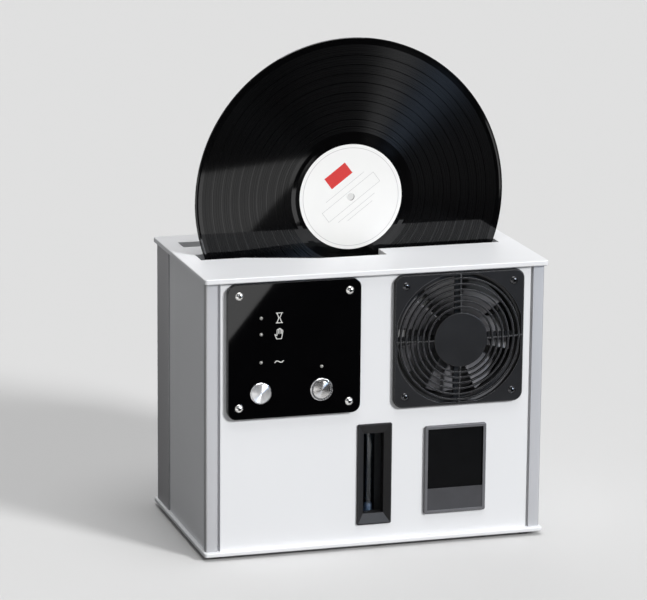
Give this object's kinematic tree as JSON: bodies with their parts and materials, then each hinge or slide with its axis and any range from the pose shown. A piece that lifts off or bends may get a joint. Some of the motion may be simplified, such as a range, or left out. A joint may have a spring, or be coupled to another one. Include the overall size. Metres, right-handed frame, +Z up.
{
  "type": "vertical record cleaning machine",
  "caption": "Tabletop bath that cleans a vinyl record standing in its top slot, with rotating brushes, ultrasonic agitation, drying fans, push-buttons and a level gauge.",
  "frame": {"origin": "bottom centre of the machine, on the surface that it stands on", "axes": "+Z up, the tallest way with the record in place; +Y from the control panel to the back, the shortest way; +X to the right as seen from the control panel"},
  "size_m": [0.33, 0.202, 0.466],
  "materials": {
    "white_coating": "fine textured powder coating",
    "column_aluminium": "satin anodised",
    "panel_acrylic": "polished",
    "black_plastic": "fine texture",
    "badge_coating": "satin",
    "screw_steel": "satin",
    "switch_chrome": "turned",
    "light_glass": "clear",
    "gauge_glass": "clear",
    "vinyl": "pressed, grooved",
    "label_paper": "matt",
    "foot_rubber": "matt",
    "roller_rubber": "matt",
    "steel": "turned",
    "bath_steel": "brushed",
    "tank_plastic": "natural",
    "white_plastic": "moulded",
    "gear_plastic": "natural acetal",
    "microfibre": "short pile",
    "motor_steel": "rolled",
    "transducer_aluminium": "turned",
    "hose_silicone": "translucent",
    "foam": "open-cell foam",
    "board_green": "solder mask"
  },
  "bodies": {
    "cabinet": {"base_plate": "white_coating", "feet": "foot_rubber", "top_plate": "white_coating", "front_left_column": "column_aluminium", "front_right_column": "column_aluminium", "rear_left_column": "column_aluminium", "rear_right_column": "column_aluminium", "front_panel": "white_coating", "rear_panel": "white_coating", "left_panel": "white_coating", "right_panel": "white_coating", "control_panel": "panel_acrylic", "panel_screws": "screw_steel", "indicator_lights": "light_glass", "start_switch": "switch_chrome", "power_switch": "switch_chrome", "control_board": "board_green", "front_fan_guard": "black_plastic", "front_fan_frame": "black_plastic", "front_air_duct": "white_plastic", "rear_fan_guard": "black_plastic", "rear_fan_frame": "black_plastic", "rear_air_duct": "white_plastic", "sight_bezel": "black_plastic", "sight_tube": "gauge_glass", "badge_plate": "badge_coating", "drive_motor": "motor_steel", "cleaning_bath": "bath_steel", "bath_deck": "white_plastic", "reservoir": "tank_plastic", "brush_motor": "motor_steel", "transducer": "transducer_aluminium", "pump": "black_plastic", "water_hoses": "hose_silicone", "generator_board": "board_green", "power_inlet": "black_plastic", "drain_plug": "black_plastic"},
    "record": {"record_disc": "vinyl", "record_labels": "label_paper"},
    "record_drive": {"drive_roller": "roller_rubber", "drive_shaft": "steel"},
    "record_idler": {"idler_roller": "white_plastic"},
    "brush_front_left": {"brush_spindle_front_left": "gear_plastic", "brush_sleeve_front_left": "microfibre"},
    "brush_front_right": {"brush_spindle_front_right": "gear_plastic", "brush_sleeve_front_right": "microfibre"},
    "brush_rear_left": {"brush_spindle_rear_left": "gear_plastic", "brush_sleeve_rear_left": "microfibre"},
    "brush_rear_right": {"brush_spindle_rear_right": "gear_plastic", "brush_sleeve_rear_right": "microfibre"},
    "cross_gear": {"cross_pinion": "gear_plastic"},
    "reduction_gear": {"transfer_gear": "gear_plastic"},
    "motor_gear": {"motor_pinion": "steel"},
    "front_rotor": {"front_fan_rotor": "black_plastic"},
    "rear_rotor": {"rear_fan_rotor": "black_plastic"},
    "start": {"start_button": "switch_chrome"},
    "power": {"power_button": "switch_chrome"},
    "float": {"level_float": "white_plastic"},
    "filter": {"filter_core": "white_plastic", "filter_foam": "foam"}
  },
  "joints": [
    {"name": "record_spin", "type": "hinge", "parent": "cabinet", "child": "record", "pos_m": [0.0015, 0, 0.3155], "axis": [0, 1, 0], "continuous": true},
    {"name": "drive_spin", "type": "hinge", "parent": "cabinet", "child": "record_drive", "pos_m": [-0.0585, 0, 0.1647], "axis": [0, 1, 0], "continuous": true},
    {"name": "idler_spin", "type": "hinge", "parent": "cabinet", "child": "record_idler", "pos_m": [0.0615, 0, 0.1647], "axis": [0, 1, 0], "continuous": true},
    {"name": "brush_front_left_spin", "type": "hinge", "parent": "cabinet", "child": "brush_front_left", "pos_m": [-0.01611, -0.01575, 0.2], "axis": [0, 0, 1], "continuous": true},
    {"name": "brush_front_right_spin", "type": "hinge", "parent": "cabinet", "child": "brush_front_right", "pos_m": [0.01389, -0.01575, 0.2], "axis": [0, 0, 1], "continuous": true},
    {"name": "brush_rear_left_spin", "type": "hinge", "parent": "cabinet", "child": "brush_rear_left", "pos_m": [-0.01389, 0.01575, 0.2], "axis": [0, 0, 1], "continuous": true},
    {"name": "brush_rear_right_spin", "type": "hinge", "parent": "cabinet", "child": "brush_rear_right", "pos_m": [0.01611, 0.01575, 0.2], "axis": [0, 0, 1], "continuous": true},
    {"name": "cross_gear_spin", "type": "hinge", "parent": "cabinet", "child": "cross_gear", "pos_m": [0, 0, 0.117], "axis": [0, 0, 1], "continuous": true},
    {"name": "reduction_gear_spin", "type": "hinge", "parent": "cabinet", "child": "reduction_gear", "pos_m": [-0.02559, -0.0378, 0.109], "axis": [0, 0, 1], "continuous": true},
    {"name": "motor_gear_spin", "type": "hinge", "parent": "cabinet", "child": "motor_gear", "pos_m": [-0.0319, -0.0525, 0.109], "axis": [0, 0, 1], "continuous": true},
    {"name": "front_fan_spin", "type": "hinge", "parent": "cabinet", "child": "front_rotor", "pos_m": [0.0785, -0.076, 0.1965], "axis": [0, 1, 0], "continuous": true},
    {"name": "rear_fan_spin", "type": "hinge", "parent": "cabinet", "child": "rear_rotor", "pos_m": [-0.0785, 0.076, 0.1965], "axis": [0, 1, 0], "continuous": true},
    {"name": "start_press", "type": "slide", "parent": "cabinet", "child": "start", "axis": [0, 1, 0], "range_m": [0, 0.0015], "stiffness_N_per_m": 400, "springref_m": -0.002},
    {"name": "power_press", "type": "slide", "parent": "cabinet", "child": "power", "axis": [0, 1, 0], "range_m": [0, 0.0015], "stiffness_N_per_m": 400, "springref_m": -0.002},
    {"name": "float_rise", "type": "slide", "parent": "cabinet", "child": "float", "axis": [0, 0, 1], "range_m": [0, 0.074]},
    {"name": "filter_lift", "type": "slide", "parent": "cabinet", "child": "filter", "axis": [0, 0, 1], "range_m": [0, 0.165]}
  ],
  "couplings": [
    {"joint": "drive_spin", "follows": "record_spin", "ratio": -13.087},
    {"joint": "idler_spin", "follows": "record_spin", "ratio": -13.087},
    {"joint": "brush_front_right_spin", "follows": "brush_front_left_spin", "ratio": -1},
    {"joint": "cross_gear_spin", "follows": "brush_front_left_spin", "ratio": 2.5},
    {"joint": "brush_rear_left_spin", "follows": "brush_front_left_spin", "ratio": -1},
    {"joint": "brush_rear_right_spin", "follows": "brush_front_left_spin", "ratio": 1},
    {"joint": "reduction_gear_spin", "follows": "brush_front_left_spin", "ratio": -1.6667},
    {"joint": "motor_gear_spin", "follows": "brush_front_left_spin", "ratio": 2.1429}
  ]
}
